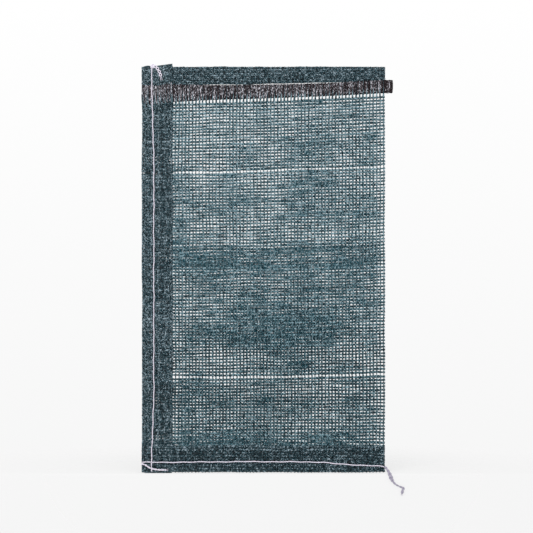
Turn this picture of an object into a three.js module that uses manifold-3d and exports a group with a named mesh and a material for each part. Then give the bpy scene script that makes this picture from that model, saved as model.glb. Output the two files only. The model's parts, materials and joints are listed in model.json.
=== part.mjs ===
// Mesh produce bag: an open-mesh sack woven from flat plastic tape, lying slack and empty.
// One sheet of mesh is folded at the right edge, its two free edges are turned over together
// and chain-stitched down the left side and along the bottom, and a flat drawstring runs
// through the top hem, sewn in at the left seam and coming out of the right fold as a loop.
//
// Millimetres, +Z up to the mouth, -Y towards the front, origin in the middle of the bottom edge.

import * as THREE from "three";
import { mergeVertices } from "three/addons/utils/BufferGeometryUtils.js";
import Module from "manifold-3d";

const wasm = await Module();
wasm.setup();

// ---- Driving dimensions ----

const WIDTH = 450;
const HEIGHT = 750;
const LEFT = -WIDTH / 2;
const RIGHT = WIDTH / 2;

const LAYER = 0.7; // one thickness of woven mesh in the pressed seams
const LAYER_GAP = 0.3; // air between two layers
const SHEET = 0.8; // one thickness of mesh or drawstring away from the seams
const SIDE_TURN = 55; // how far the side edges are turned over
const BOTTOM_TURN = 46; // how far the bottom edges are turned over
const PANEL_Y = 4.8; // middle of the front and back sheets, either side of the bag's middle
const PANEL_MARGIN = 2; // air between a panel and the seam beside it

const TAPE_WIDTH = 25; // drawstring
const TAPE_Z = 711; // middle of the drawstring
const LOOP_OUT = 14; // how far its loop stands out of the right fold
const CHANNEL_WALL = 0.4;
const CHANNEL_AIR = 0.3;
const CHANNEL_ROOM = 1.5; // air above and below the drawstring in its channel
const GATHER_PLAY = 3.7; // the mouth's corners slide between the hems, inside this half depth
const CUT = 0.5; // half the break in a fold where its top part moves with the mouth

const THREAD_R = 0.55;
const TAIL_R = 0.9;
const THREAD_SIDES = 6;
const SIDE_SEAM_X = LEFT + 19;
const BOTTOM_SEAM_Z = 18.5;

// ---- Worked-out places ----

const INNER_FOLD = { inside: LAYER_GAP / 2, outside: LAYER_GAP / 2 + LAYER };
const OUTER_FOLD = {
  inside: INNER_FOLD.outside + LAYER_GAP,
  outside: INNER_FOLD.outside + LAYER_GAP + LAYER,
};
const STITCH_Y = OUTER_FOLD.outside + LAYER_GAP + THREAD_R;
const CROSSING_Y = STITCH_Y + 2 * THREAD_R + LAYER_GAP;
const CROSSING_HALF = 3; // half the height over which the side seam rides on the bottom seam
const TURN_X = LEFT + SIDE_TURN; // free edge of the turned-over side
const PANEL_LEFT = TURN_X + PANEL_MARGIN;
const PANEL_RIGHT = RIGHT - 13;
const PANEL_BOTTOM = BOTTOM_TURN + PANEL_MARGIN;
const TAPE_LOW = TAPE_Z - TAPE_WIDTH / 2;
const TAPE_HIGH = TAPE_Z + TAPE_WIDTH / 2;
const CHANNEL_LOW = TAPE_LOW - CHANNEL_ROOM;
const CHANNEL_HIGH = TAPE_HIGH + CHANNEL_ROOM;
const PANEL_TOP = CHANNEL_LOW - CHANNEL_WALL - 1;
const MOUTH_Z = TAPE_LOW - CUT; // above this the side seam and right fold move with the mouth

// ---- Materials ----

const material = (color, roughness) =>
  new THREE.MeshStandardMaterial({ color, roughness, metalness: 0 });
const meshTape = material(0x37555a, 0.55);
const denseTape = material(0x34494e, 0.6);
const cord = material(0x453f44, 0.75);
const thread = material(0xd9d5de, 0.8);

// ---- Shapes ----

const bag = new THREE.Group();

function add(name, geometry, look) {
  const mesh = new THREE.Mesh(geometry, look);
  mesh.name = name;
  bag.add(mesh);
  return mesh;
}

// An outline in the (x, y) plane, drawn up from low to high.
function upright(shape, low, high) {
  const geometry = new THREE.ExtrudeGeometry(shape, {
    depth: high - low,
    bevelEnabled: false,
    curveSegments: 8,
  });
  return geometry.translate(0, 0, low);
}

// An outline in the (y, z) plane, drawn sideways from left to right.
function sideways(shape, left, right) {
  const geometry = upright(shape, left, right);
  const toYZX = new THREE.Matrix4().makeBasis(
    new THREE.Vector3(0, 1, 0),
    new THREE.Vector3(0, 0, 1),
    new THREE.Vector3(1, 0, 0),
  );
  return geometry.applyMatrix4(toYZX);
}

function rectangle(u0, u1, v0, v1) {
  const shape = new THREE.Shape();
  shape.moveTo(u0, v0);
  shape.lineTo(u1, v0);
  shape.lineTo(u1, v1);
  shape.lineTo(u0, v1);
  shape.closePath();
  return shape;
}

// The section of a sheet folded over itself: two legs joined by a round fold at foldX.
// The legs lie between the two half depths and end at endX.
function foldSection(foldX, endX, { inside, outside }) {
  const way = Math.sign(endX - foldX);
  const centre = foldX + way * outside;
  const from = way > 0 ? -Math.PI / 2 : Math.PI / 2;
  const shape = new THREE.Shape();
  shape.moveTo(endX, -way * outside);
  shape.lineTo(centre, -way * outside);
  shape.absarc(centre, 0, outside, from, from - Math.PI, true);
  shape.lineTo(endX, way * outside);
  shape.lineTo(endX, way * inside);
  shape.lineTo(centre, way * inside);
  shape.absarc(centre, 0, inside, from - Math.PI, from, false);
  shape.lineTo(endX, -way * inside);
  shape.closePath();
  return shape;
}

// The same fold pressed flat underneath, for the bottom edge: legs up to top, crease at z = base.
function creaseSection(base, top, { inside, outside }) {
  const corner = 0.6;
  const floor = base + outside - inside;
  const shape = new THREE.Shape();
  shape.moveTo(-outside + corner, base);
  shape.lineTo(outside - corner, base);
  shape.absarc(outside - corner, base + corner, corner, -Math.PI / 2, 0, false);
  shape.lineTo(outside, top);
  shape.lineTo(inside, top);
  shape.lineTo(inside, floor);
  shape.lineTo(-inside, floor);
  shape.lineTo(-inside, top);
  shape.lineTo(-outside, top);
  shape.lineTo(-outside, base + corner);
  shape.absarc(-outside + corner, base + corner, corner, Math.PI, 1.5 * Math.PI, false);
  shape.closePath();
  return shape;
}

// A thread through a list of [x, y, z] points.
function threadAlong(points, radius, steps) {
  const path = new THREE.CatmullRomCurve3(
    points.map(([x, y, z]) => new THREE.Vector3(x, y, z)),
    false,
    "centripetal",
  );
  const section = new THREE.Shape();
  for (let i = 0; i < THREAD_SIDES; i++) {
    const turn = (2 * Math.PI * i) / THREAD_SIDES;
    section[i ? "lineTo" : "moveTo"](radius * Math.cos(turn), radius * Math.sin(turn));
  }
  section.closePath();
  return new THREE.ExtrudeGeometry(section, { steps, extrudePath: path, bevelEnabled: false });
}

// ---- Booleans ----

function solid(geometry) {
  const bare = geometry.clone();
  bare.deleteAttribute("normal");
  bare.deleteAttribute("uv");
  const merged = mergeVertices(bare);
  return new wasm.Manifold(
    new wasm.Mesh({
      numProp: 3,
      vertProperties: merged.getAttribute("position").array,
      triVerts: new Uint32Array(merged.index.array),
    }),
  );
}

function cut(geometry, tool) {
  const { numProp, vertProperties, triVerts } = solid(geometry).subtract(solid(tool)).getMesh();
  const made = new THREE.BufferGeometry();
  const positions = new Float32Array((vertProperties.length / numProp) * 3);
  for (let i = 0; i < positions.length / 3; i++) {
    positions.set(vertProperties.subarray(i * numProp, i * numProp + 3), i * 3);
  }
  made.setAttribute("position", new THREE.BufferAttribute(positions, 3));
  made.setIndex(new THREE.BufferAttribute(triVerts, 1));
  made.computeVertexNormals();
  return made;
}

// ---- Mesh panels: the front and back of the bag ----

for (const [side, way] of [["front", -1], ["back", 1]]) {
  const near = way * (PANEL_Y - SHEET / 2);
  const far = way * (PANEL_Y + SHEET / 2);
  const section = rectangle(Math.min(near, far), Math.max(near, far), PANEL_BOTTOM, PANEL_TOP);
  add(`${side}_mesh_panel`, sideways(section, PANEL_LEFT, PANEL_RIGHT), meshTape);
}

// ---- Top hems: a dense band with the drawstring's channel woven in below it ----

function hemSection(way) {
  const inner = way * GATHER_PLAY;
  const depth = 2 * (CHANNEL_WALL + CHANNEL_AIR) + SHEET;
  const outer = inner + way * depth;
  const section = rectangle(
    Math.min(inner, outer),
    Math.max(inner, outer),
    CHANNEL_LOW - CHANNEL_WALL,
    HEIGHT,
  );
  section.holes.push(
    rectangle(
      Math.min(inner, outer) + CHANNEL_WALL,
      Math.max(inner, outer) - CHANNEL_WALL,
      CHANNEL_LOW,
      CHANNEL_HIGH,
    ),
  );
  return section;
}

add("front_top_hem", sideways(hemSection(-1), PANEL_LEFT, PANEL_RIGHT), denseTape);
add("back_top_hem", sideways(hemSection(1), PANEL_LEFT, PANEL_RIGHT), denseTape);

// ---- Drawstring: one flat tape, in a front run, a back run and the pull loop between them ----

const RUN_Y = GATHER_PLAY + CHANNEL_WALL + CHANNEL_AIR; // inner face of the drawstring

for (const [side, way] of [["front", -1], ["back", 1]]) {
  const near = way * RUN_Y;
  const far = way * (RUN_Y + SHEET);
  const section = rectangle(Math.min(near, far), Math.max(near, far), TAPE_LOW, TAPE_HIGH);
  add(`drawstring_${side}_run`, sideways(section, PANEL_LEFT, PANEL_RIGHT + 3), cord);
}

add(
  "drawstring_loop",
  upright(
    foldSection(RIGHT + LOOP_OUT, PANEL_RIGHT + 5, { inside: RUN_Y, outside: RUN_Y + SHEET }),
    TAPE_LOW,
    TAPE_HIGH,
  ),
  cord,
);

// ---- Right fold: where the one sheet of mesh turns from front to back ----

add(
  "right_fold_edge",
  upright(
    foldSection(RIGHT, PANEL_RIGHT + 2, {
      inside: PANEL_Y - SHEET / 2,
      outside: PANEL_Y + SHEET / 2,
    }),
    PANEL_BOTTOM,
    MOUTH_Z - CUT,
  ),
  meshTape,
);

// The top of the fold has a slit that the drawstring comes out of.
const foldTop = upright(
  foldSection(RIGHT, PANEL_RIGHT + 4, { inside: 2.5, outside: 2.5 + SHEET }),
  MOUTH_Z,
  HEIGHT,
);
const slit = upright(
  rectangle(RIGHT - 3, RIGHT + 3, -PANEL_Y, PANEL_Y),
  TAPE_LOW - CHANNEL_ROOM,
  TAPE_HIGH + CHANNEL_ROOM,
);
add("right_fold_top", cut(foldTop, slit), denseTape);

// ---- Side seam: both layers turned over together, one fold nested in the other ----

const folds = [["inner", INNER_FOLD], ["outer", OUTER_FOLD]];

for (const [name, depths] of folds) {
  const foldX = LEFT + OUTER_FOLD.outside - depths.outside;
  const section = foldSection(foldX, TURN_X, depths);
  add(`side_${name}_turnover`, upright(section, PANEL_BOTTOM, MOUTH_Z - CUT), denseTape);
  add(`mouth_${name}_turnover`, upright(section, TAPE_HIGH + CUT, HEIGHT), denseTape);
  add(`drawstring_${name}_sewn_end`, upright(section, TAPE_LOW, TAPE_HIGH), cord);
}

// ---- Bottom seam: the same turnover along the bottom edge ----

for (const [name, depths] of folds) {
  const base = OUTER_FOLD.outside - depths.outside;
  const section = creaseSection(base, BOTTOM_TURN, depths);
  add(`bottom_${name}_turnover`, sideways(section, LEFT, RIGHT), denseTape);
}

// ---- Chain-stitched seams: needle thread in front, looper thread behind ----

// The side seam wanders a little, and steps over the bottom seam where the two cross.
function sideSeam(way, low, high) {
  const stations = 14;
  const points = [];
  for (let i = 0; i <= stations; i++) {
    const z = low + ((high - low) * i) / stations;
    const wander = 1.6 * Math.sin((Math.PI * z) / HEIGHT);
    points.push([SIDE_SEAM_X + wander, way * STITCH_Y, z]);
  }
  return points;
}

const steppedOver = (way) => [
  [SIDE_SEAM_X, way * STITCH_Y, 1.5],
  [SIDE_SEAM_X, way * STITCH_Y, BOTTOM_SEAM_Z - 3 * CROSSING_HALF],
  [SIDE_SEAM_X, way * CROSSING_Y, BOTTOM_SEAM_Z - CROSSING_HALF],
  [SIDE_SEAM_X, way * CROSSING_Y, BOTTOM_SEAM_Z + CROSSING_HALF],
  [SIDE_SEAM_X, way * STITCH_Y, BOTTOM_SEAM_Z + 3 * CROSSING_HALF],
];

const bottomSeam = (way) => [
  [LEFT + 1, way * STITCH_Y, BOTTOM_SEAM_Z + 0.7],
  [-120, way * STITCH_Y, BOTTOM_SEAM_Z + 1.2],
  [0, way * STITCH_Y, BOTTOM_SEAM_Z],
  [110, way * STITCH_Y, BOTTOM_SEAM_Z],
  [180, way * STITCH_Y, BOTTOM_SEAM_Z - 5],
  [RIGHT - 8, way * STITCH_Y, BOTTOM_SEAM_Z - 6.5],
  [RIGHT - 1, way * STITCH_Y, BOTTOM_SEAM_Z - 8.5],
];

for (const [name, way] of [["needle", -1], ["looper", 1]]) {
  const lower = [...steppedOver(way), ...sideSeam(way, 60, MOUTH_Z - CUT)];
  const upper = sideSeam(way, MOUTH_Z + CUT, HEIGHT);
  add(`side_seam_${name}_thread`, threadAlong(lower, THREAD_R, 90), thread);
  add(`mouth_seam_${name}_thread`, threadAlong(upper, THREAD_R, 12), thread);
  add(`bottom_seam_${name}_thread`, threadAlong(bottomSeam(way), THREAD_R, 40), thread);
}

// ---- Thread ends: a knot and a chained tail where each seam runs off the cloth ----

add(
  "side_seam_knot",
  new THREE.SphereGeometry(1, 10, 8)
    .scale(4, GATHER_PLAY - 0.8, 2.6)
    .translate(SIDE_SEAM_X, 0, HEIGHT + THREAD_R + 2.9),
  thread,
);

add(
  "side_seam_tail",
  threadAlong(
    [
      [LEFT + 24.5, -STITCH_Y, 751],
      [LEFT + 29, -STITCH_Y, 748],
      [LEFT + 34.5, -STITCH_Y, 741],
      [LEFT + 35, -STITCH_Y, 729],
    ],
    THREAD_R,
    12,
  ),
  thread,
);

const FRONT_TAIL_Y = -(CROSSING_Y + THREAD_R + LAYER_GAP + TAIL_R);
add(
  "bottom_seam_start_tail",
  threadAlong(
    [
      [LEFT, FRONT_TAIL_Y, 17],
      [LEFT + 8, FRONT_TAIL_Y, 14],
      [LEFT + 19, FRONT_TAIL_Y, 9.5],
      [LEFT + 30, FRONT_TAIL_Y, 6.5],
      [LEFT + 48, FRONT_TAIL_Y, 6],
    ],
    TAIL_R,
    16,
  ),
  thread,
);

add(
  "bottom_seam_end_tail",
  threadAlong(
    [
      [RIGHT + 2, 0, 10],
      [RIGHT + 8.5, 0, 2.5],
      [RIGHT + 10.5, 0, -9],
      [RIGHT + 17.5, 0, -18],
      [RIGHT + 26, 0, -23.5],
      [RIGHT + 33, 0, -26],
      [RIGHT + 30.5, 0, -38],
    ],
    TAIL_R,
    28,
  ),
  thread,
);

export default bag;
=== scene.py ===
"""A mesh produce bag: one woven sheet of plastic tape, folded at the right and turned over at the
left and bottom, chain-stitched along both turnings, with a flat drawstring woven in at the mouth.

The sheet is worked out flat and then folded. s runs along the weft, from one raw edge, over the
front, round the right fold, over the back and out to the other raw edge. v runs up the warp, and is
negative in the margin that is turned up at the bottom. Sizes here are in millimetres until a mesh is
made. The front of the bag faces -Y.
"""

import json
import math

import bpy
import numpy as np
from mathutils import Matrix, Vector

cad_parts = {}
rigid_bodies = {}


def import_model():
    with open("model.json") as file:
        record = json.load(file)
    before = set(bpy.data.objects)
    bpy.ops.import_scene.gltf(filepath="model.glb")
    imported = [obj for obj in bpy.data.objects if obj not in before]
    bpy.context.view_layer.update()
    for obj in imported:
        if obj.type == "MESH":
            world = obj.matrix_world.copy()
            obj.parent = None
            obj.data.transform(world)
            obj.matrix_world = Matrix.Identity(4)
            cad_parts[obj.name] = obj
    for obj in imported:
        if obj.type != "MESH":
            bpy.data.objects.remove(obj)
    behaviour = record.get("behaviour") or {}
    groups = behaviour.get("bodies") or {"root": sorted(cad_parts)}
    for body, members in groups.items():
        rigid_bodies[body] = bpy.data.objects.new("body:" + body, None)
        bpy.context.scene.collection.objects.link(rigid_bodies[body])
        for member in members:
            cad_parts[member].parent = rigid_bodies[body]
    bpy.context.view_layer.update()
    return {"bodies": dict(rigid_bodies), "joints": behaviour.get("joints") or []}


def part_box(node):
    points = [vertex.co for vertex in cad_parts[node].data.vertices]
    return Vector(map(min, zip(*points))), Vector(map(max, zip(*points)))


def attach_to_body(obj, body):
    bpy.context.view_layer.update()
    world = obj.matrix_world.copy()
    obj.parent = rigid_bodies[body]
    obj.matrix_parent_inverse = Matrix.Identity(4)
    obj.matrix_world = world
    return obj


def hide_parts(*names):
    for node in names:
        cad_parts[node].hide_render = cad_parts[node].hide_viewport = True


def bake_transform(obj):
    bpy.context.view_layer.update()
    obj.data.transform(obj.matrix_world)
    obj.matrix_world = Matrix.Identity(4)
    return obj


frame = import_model()

MM = 0.001
RNG = np.random.default_rng(18)
SHARED_RNG = np.random.default_rng(41)
pieces = {}

# ---- Places, from the CAD ----


def box_mm(node):
    """Lowest and highest corner of a CAD node, in millimetres."""
    low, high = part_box(node)
    return np.array(low) / MM, np.array(high) / MM


LEFT, TURN_X = (corner[0] for corner in box_mm("side_outer_turnover"))
PANEL_RIGHT, RIGHT = (corner[0] for corner in box_mm("right_fold_edge"))
HEM = box_mm("bottom_outer_turnover")[1][2]
TOP = box_mm("front_top_hem")[1][2]
MOUTH_SEAM = box_mm("mouth_seam_needle_thread")[0]
MOUTH = MOUTH_SEAM[2]
SIDE_SEAM_X = MOUTH_SEAM[0] + 0.5  # the middle of the thread
LOOP_TIP = box_mm("drawstring_loop")[1][0]
WIDTH = RIGHT - LEFT

# ---- The flat sheet ----

SIDE_TURN = TURN_X - LEFT
S_INNER = SIDE_TURN  # crease where the front's margin turns over
S_RIGHT = S_INNER + WIDTH  # the right fold
S_OUTER = S_RIGHT + WIDTH  # crease where the back's margin turns over
S_END = S_OUTER + SIDE_TURN

WARPS = 160
WARP_PITCH = S_END / WARPS
ROW_PITCH = 5.8
MARKER_ROWS = (173, 553)  # heights of the two missing wefts
MARKER_GAP = 2.1  # extra room there
OPEN_TOP = 681  # the last open row, under the drawstring
FIRST_ROW = 1.8  # above the turned-up raw edge
DENSE_LOW = 719.2  # the close band above the drawstring
DENSE_PITCH = 3.55
TAPE_MID = 702.7
TAPE_HALF = 16.0
TAPE_SAGS = 4.5  # its lower edge hangs this much lower at the bag's left edge
TAPE_SHRINKS = 1.9  # its upper edge lies this much lower away from there

LAYER = 0.75  # from one layer to the next in a seam
MARGIN_SHIFT = (1.6, 1.45)  # the turned-over layers lie across the holes of the ones below
# Higher up they creep on, until one's weft fills a missing one.
MARGIN_CREEP = 0.5 * (ROW_PITCH + MARKER_GAP) - MARGIN_SHIFT[1]
BACK, FRONT, FRONT_MARGIN, BACK_MARGIN = 0, 1, 2, 3


def weft_rows():
    """Heights of the wefts, from the turned-up raw edge to the mouth."""
    rows = []
    v = -HEM + FIRST_ROW
    while v < OPEN_TOP + 1:
        rows.append(v)
        crossed = any(v < marker <= v + ROW_PITCH for marker in MARKER_ROWS)
        v += ROW_PITCH + (MARKER_GAP if crossed else 0)
    rows += list(np.arange(DENSE_LOW, TOP - 1, DENSE_PITCH))
    return np.array(rows)


ROWS = weft_rows()
WARP_S = (np.arange(WARPS) + 0.5) * WARP_PITCH

# ---- Shapes that the sheet has taken ----


def smooth(t):
    """A smooth step from 0 to 1 as t goes from 0 to 1."""
    t = np.clip(t, 0, 1)
    return t * t * (3 - 2 * t)


def rising(value, start, reach):
    """0 up to start, then smoothly up to 1 over the reach."""
    return smooth((value - start) / reach)


def falling(value, end, reach):
    """Smoothly down from 1 over the reach, to 0 at the end."""
    return smooth((end - value) / reach)


FIELD_START = (-700, -400)  # x and z where the random fields begin
FIELD_SPAN = 1600


def wave_field(cell_x, cell_z, draw=RNG):
    """A smooth random field over the bag, between -1 and 1, with features of about the cell's size."""
    count_x = int(FIELD_SPAN / cell_x) + 3
    count_z = int(FIELD_SPAN / cell_z) + 3
    grid = draw.uniform(-1, 1, (count_x, count_z))

    def value(x, z):
        gx = (np.asarray(x, float) - FIELD_START[0]) / cell_x
        gz = (np.asarray(z, float) - FIELD_START[1]) / cell_z
        i = np.clip(gx.astype(int), 0, count_x - 2)
        j = np.clip(gz.astype(int), 0, count_z - 2)
        tx = smooth(gx - i)
        tz = smooth(gz - j)
        low = grid[i, j] * (1 - tx) + grid[i + 1, j] * tx
        high = grid[i, j + 1] * (1 - tx) + grid[i + 1, j + 1] * tx
        return low * (1 - tz) + high * tz

    return value


drape = wave_field(210, 260)
crumple = wave_field(60, 48)
puff = wave_field(120, 90)
outline = wave_field(90, 60)
raw_edge = wave_field(400, 24)
wander_front = wave_field(60, 45), wave_field(45, 22)
wander_back = wave_field(60, 45), wave_field(45, 22)
wander_shared = wave_field(28, 80, SHARED_RNG), wave_field(62, 26, SHARED_RNG)
OWN_WANDER = (0.5, 0.6)  # how far each layer wanders by itself, sideways and up
SHARED_WANDER = (0.7, 1.3)  # how far both layers wander together
OUTLINE_WANDERS = 0.7
RAW_EDGE_WANDERS = 2.6

# Where the front and back slip out of register: (x, z, reach in x, reach in z, share of a pitch).
SLIPPED_ROWS = (
    (110, 468, 120, 22, 0.18),
    (40, 388, 208, 22, 0.48),
    (70, 322, 170, 40, 0.24),
    (5, 254, 172, 31, 0.54),
    (-70, 292, 50, 22, 0.14),
    (-150, 300, 24, 22, -0.12),
    (50, 180, 190, 32, 0.20),
    (20, 130, 260, 50, 0.19),
    (-100, 95, 70, 45, 0.14),
    (0, 50, 300, 26, 0.36),
    (-164, 110, 7, 70, -0.30),
    (76, 640, 36, 30, -0.10),
    (-160, 560, 40, 150, 0.14),
    (190, 600, 50, 160, 0.10),
    (224, 380, 14, 300, 0.16),
)
SLIPPED_WARPS = (
    (-52, 560, 14, 190, 0.26),
    (-148, 450, 14, 240, 0.14),
    (115, 640, 40, 60, 0.06),
    (66, 340, 26, 60, 0.26),
    (-20, 250, 160, 40, 0.22),
    (-20, 110, 220, 100, 0.22),
    (190, 560, 40, 120, 0.10),
)
SLIP_EVERYWHERE = (0.12, 0.14)  # of a pitch, across and up
REGISTERED_ABOVE = 470  # the layers lie closer to register above this height
SEEN_THROUGH = 0.28  # the back lies higher at the mouth, in line with the front from the camera


def bumps(table, x, z):
    """Sum of the smooth bumps in a table, at x and z."""
    total = np.zeros(np.broadcast(x, z).shape)
    for cx, cz, reach_x, reach_z, amount in table:
        total += amount * np.exp(-(((x - cx) / reach_x) ** 2) - ((z - cz) / reach_z) ** 2)
    return total


STRAIGHT_ABOVE = 684  # higher than this the rows run level until near the right edge
STRAIGHT_REACH = 34  # and are fully so this much higher up
RISE_HEIGHTS = (0, HEM, 178, 557, STRAIGHT_ABOVE, STRAIGHT_ABOVE + STRAIGHT_REACH, TOP)
RISE_AT_RIGHT = (0, 0, 7, 13, 15, 8, 0)


def rise(x, z):
    """How far the weft has crept up towards the right."""
    across = np.clip((x - LEFT) / WIDTH, 0, 1)
    late = rising(z, STRAIGHT_ABOVE, STRAIGHT_REACH)
    share = (1 - late) * (0.3 * across + 0.7 * across**2) + late * across**3
    return np.interp(z, RISE_HEIGHTS, RISE_AT_RIGHT) * share


EDGE_GAP = 0.65  # half the space between front and back where they are held together
SLACK_GAP = 4.2  # how much more there is where the bag is slack
SLACK_VARIES = 1.6


def half_gap(x, z):
    """Half the space between the front and the back of the slack bag."""
    sides = rising(x, TURN_X, 120) * falling(x, RIGHT, 110)
    ends = rising(z, HEM, 140) * (1 - 0.45 * rising(z, 560, 150))
    return EDGE_GAP + sides * ends * (SLACK_GAP + SLACK_VARIES * puff(x, z))


def mid_plane(x, z):
    """The gentle bend of the whole bag out of its plane."""
    return rising(z, 0, 160) * (1.9 * drape(x, z) + 0.5 * crumple(x, z))


def is_front(layer):
    return (layer == FRONT) | (layer == FRONT_MARGIN)


def is_margin(layer):
    return (layer == FRONT_MARGIN) | (layer == BACK_MARGIN)


def level(layer, x, z, turned_up):
    """Depth of a layer at x and z. turned_up is the margin turned up at the bottom."""
    gap = half_gap(x, z)
    low = np.select(
        [layer == BACK, layer == FRONT, layer == FRONT_MARGIN],
        [gap, -gap, -gap - LAYER],
        -gap - 2 * LAYER,
    )
    side_layers = 4 * falling(x, TURN_X + 6, 12)
    high = -gap - LAYER * (2 - layer + side_layers)
    return np.where(turned_up, high, low) + mid_plane(x, z)


RIGHT_RADIUS = 1.3
OUTER_RADIUS = 1.3
INNER_RADIUS = 0.4
BOTTOM_RADIUS = 1.1
CREASE_FADES = 20  # the length a crease takes up is made good over this distance
INNER_NESTS = 0.9  # the inner crease lies this far inside the outer one


def turn(away, radius):
    """Going round a crease: (distance from the crease line, share of the full depth)."""
    quarter = math.pi / 2
    angle = np.minimum(away / radius, quarter)
    past = away - radius * quarter
    straight = away - (quarter - 1) * radius * np.exp(-np.maximum(past, 0) / CREASE_FADES)
    return np.where(past < 0, radius * (1 - np.cos(angle)), straight), np.sin(angle)


def slips(layer, x, z, at_left, turned_up):
    """How far a layer has slipped over the others, across and up."""
    sign = np.where(is_front(layer), 1.0, -1.0)
    looser = 1 - 0.45 * rising(z, REGISTERED_ABOVE, 60)
    across = sign * 0.5 * WARP_PITCH * (SLIP_EVERYWHERE[0] * looser + bumps(SLIPPED_WARPS, x, z))
    up = sign * 0.5 * ROW_PITCH * (SLIP_EVERYWHERE[1] * looser + bumps(SLIPPED_ROWS, x, z))
    own = [np.where(is_front(layer), wander_front[k](x, z), wander_back[k](x, z)) for k in (0, 1)]
    across += own[0] * OWN_WANDER[0]
    up += own[1] * OWN_WANDER[1] * falling(z, 660, 60)

    turned_in = is_margin(layer) * sign * rising(at_left, 0, 12)
    creep = MARGIN_CREEP * rising(z, 0, 60) * falling(z, 680, 60)
    across += MARGIN_SHIFT[0] * turned_in
    up += (MARGIN_SHIFT[1] + creep) * turned_in
    folded_up = turned_up * sign * rising(z, 0, 8)
    return across + MARGIN_SHIFT[0] * folded_up, up + MARGIN_SHIFT[1] * folded_up


CORNER_POKES = 4.4  # the turned-over margin's top corner stands this far above the mouth
CORNER_REACH = 25


def place(s, v):
    """Where the sheet's point (s, v) is on the folded bag."""
    s, v = np.broadcast_arrays(np.asarray(s, float), np.asarray(v, float))
    layer = np.select(
        [s < S_INNER, s < S_RIGHT, s < S_OUTER],
        [FRONT_MARGIN, FRONT, BACK],
        BACK_MARGIN,
    )
    front, margin, turned_up = is_front(layer), is_margin(layer), v < 0
    inner, inner_depth = turn(np.abs(s - S_INNER), INNER_RADIUS)
    outer, outer_depth = turn(np.abs(s - S_OUTER), OUTER_RADIUS)
    right, right_depth = turn(np.abs(s - S_RIGHT), RIGHT_RADIUS)
    z, up_depth = turn(np.abs(v), BOTTOM_RADIUS)
    at_left = np.where(front, inner, outer)
    nested = np.where(front, INNER_NESTS, 0.0) * np.exp(-at_left / CREASE_FADES)
    near_right = (np.abs(s - S_RIGHT) < WIDTH / 2) & ~margin
    x = np.where(near_right, RIGHT - right, LEFT + nested + at_left)

    # In the plane of the bag.
    edge = np.minimum(rising(x, LEFT, 10), falling(x, RIGHT, 22))
    slip_x, slip_z = slips(layer, x, z, at_left, turned_up)
    new_x = x + edge * slip_x + OUTLINE_WANDERS * outline(x, z)
    new_x += margin * RAW_EDGE_WANDERS * raw_edge(0 * z, z) * smooth(at_left / SIDE_TURN)
    new_x += edge * SHARED_WANDER[0] * rising(x, TURN_X, 20) * wander_shared[0](x, z)
    new_z = z + rise(x, z) + edge * slip_z
    new_z += turned_up * (1 - edge) * 0.5 * ROW_PITCH * rising(z, 0, 8)
    new_z += edge * SHARED_WANDER[1] * rising(z, 0, 60) * falling(z, 690, 30) * wander_shared[1](x, z)
    new_z += (layer == BACK) * SEEN_THROUGH * half_gap(x, z) * rising(z, 690, 20)
    corner = np.clip((x - TURN_X + CORNER_REACH) / CORNER_REACH, 0, 1) * rising(z, 620, 110)
    new_z += margin * CORNER_POKES * corner

    def depth(is_up):
        """Depth of the layer, which meets the layer it is folded against at each crease."""
        here = level(layer, x, z, is_up)
        folded_to = np.select(
            [layer == FRONT_MARGIN, layer == FRONT, layer == BACK],
            [FRONT, FRONT_MARGIN, BACK_MARGIN],
            BACK,
        )
        at_side = level(folded_to, x, z, is_up)
        at_right = level(np.where(layer == FRONT, BACK, FRONT), x, z, is_up)
        middle = 0.5 * (here + np.where(near_right, at_right, at_side))
        reach = np.where(near_right, right_depth, np.where(front, inner_depth, outer_depth))
        return middle + reach * (here - middle)

    low = depth(np.zeros(s.shape, bool))
    high = depth(np.ones(s.shape, bool))
    crease = 0.5 * (low + high)
    y = crease + up_depth * (np.where(turned_up, high, low) - crease)
    return np.stack([new_x, y, new_z], -1)


def unit(vectors):
    """The vectors along the last axis, at length 1."""
    return vectors / np.maximum(np.linalg.norm(vectors, axis=-1, keepdims=True), 1e-9)


def outward(s, v, path=place):
    """The sheet's unit normal, on the side that shows on the front and back of the bag."""
    step = 0.35
    along = path(s + step, v) - path(s - step, v)
    up = path(s, v + step) - path(s, v - step)
    return unit(np.cross(along, up))


# ---- Making meshes ----

BAKE_MARGIN = 0.01  # of the UV map, left free all round


def fill(items, field, values, kind=np.float32):
    """Sets a field of all items of a Blender collection."""
    items.foreach_set(field, np.asarray(values, kind).ravel())


def in_scene(name, data):
    """A new object in the scene."""
    obj = bpy.data.objects.new(name, data)
    bpy.context.scene.collection.objects.link(obj)
    return obj


def plan_uv(mesh, points):
    """A UV map looking straight at the front of the bag."""
    low = points.min(0)
    size = max(float(np.ptp(points[:, 0])), float(np.ptp(points[:, 2])), 1e-6)
    flat = (points[:, [0, 2]] - low[[0, 2]]) / size * (1 - 2 * BAKE_MARGIN) + BAKE_MARGIN
    corner = np.zeros(len(mesh.loops), np.int32)
    mesh.loops.foreach_get("vertex_index", corner)
    fill(mesh.uv_layers.new(name="OFBake").data, "uv", flat[corner])


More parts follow.
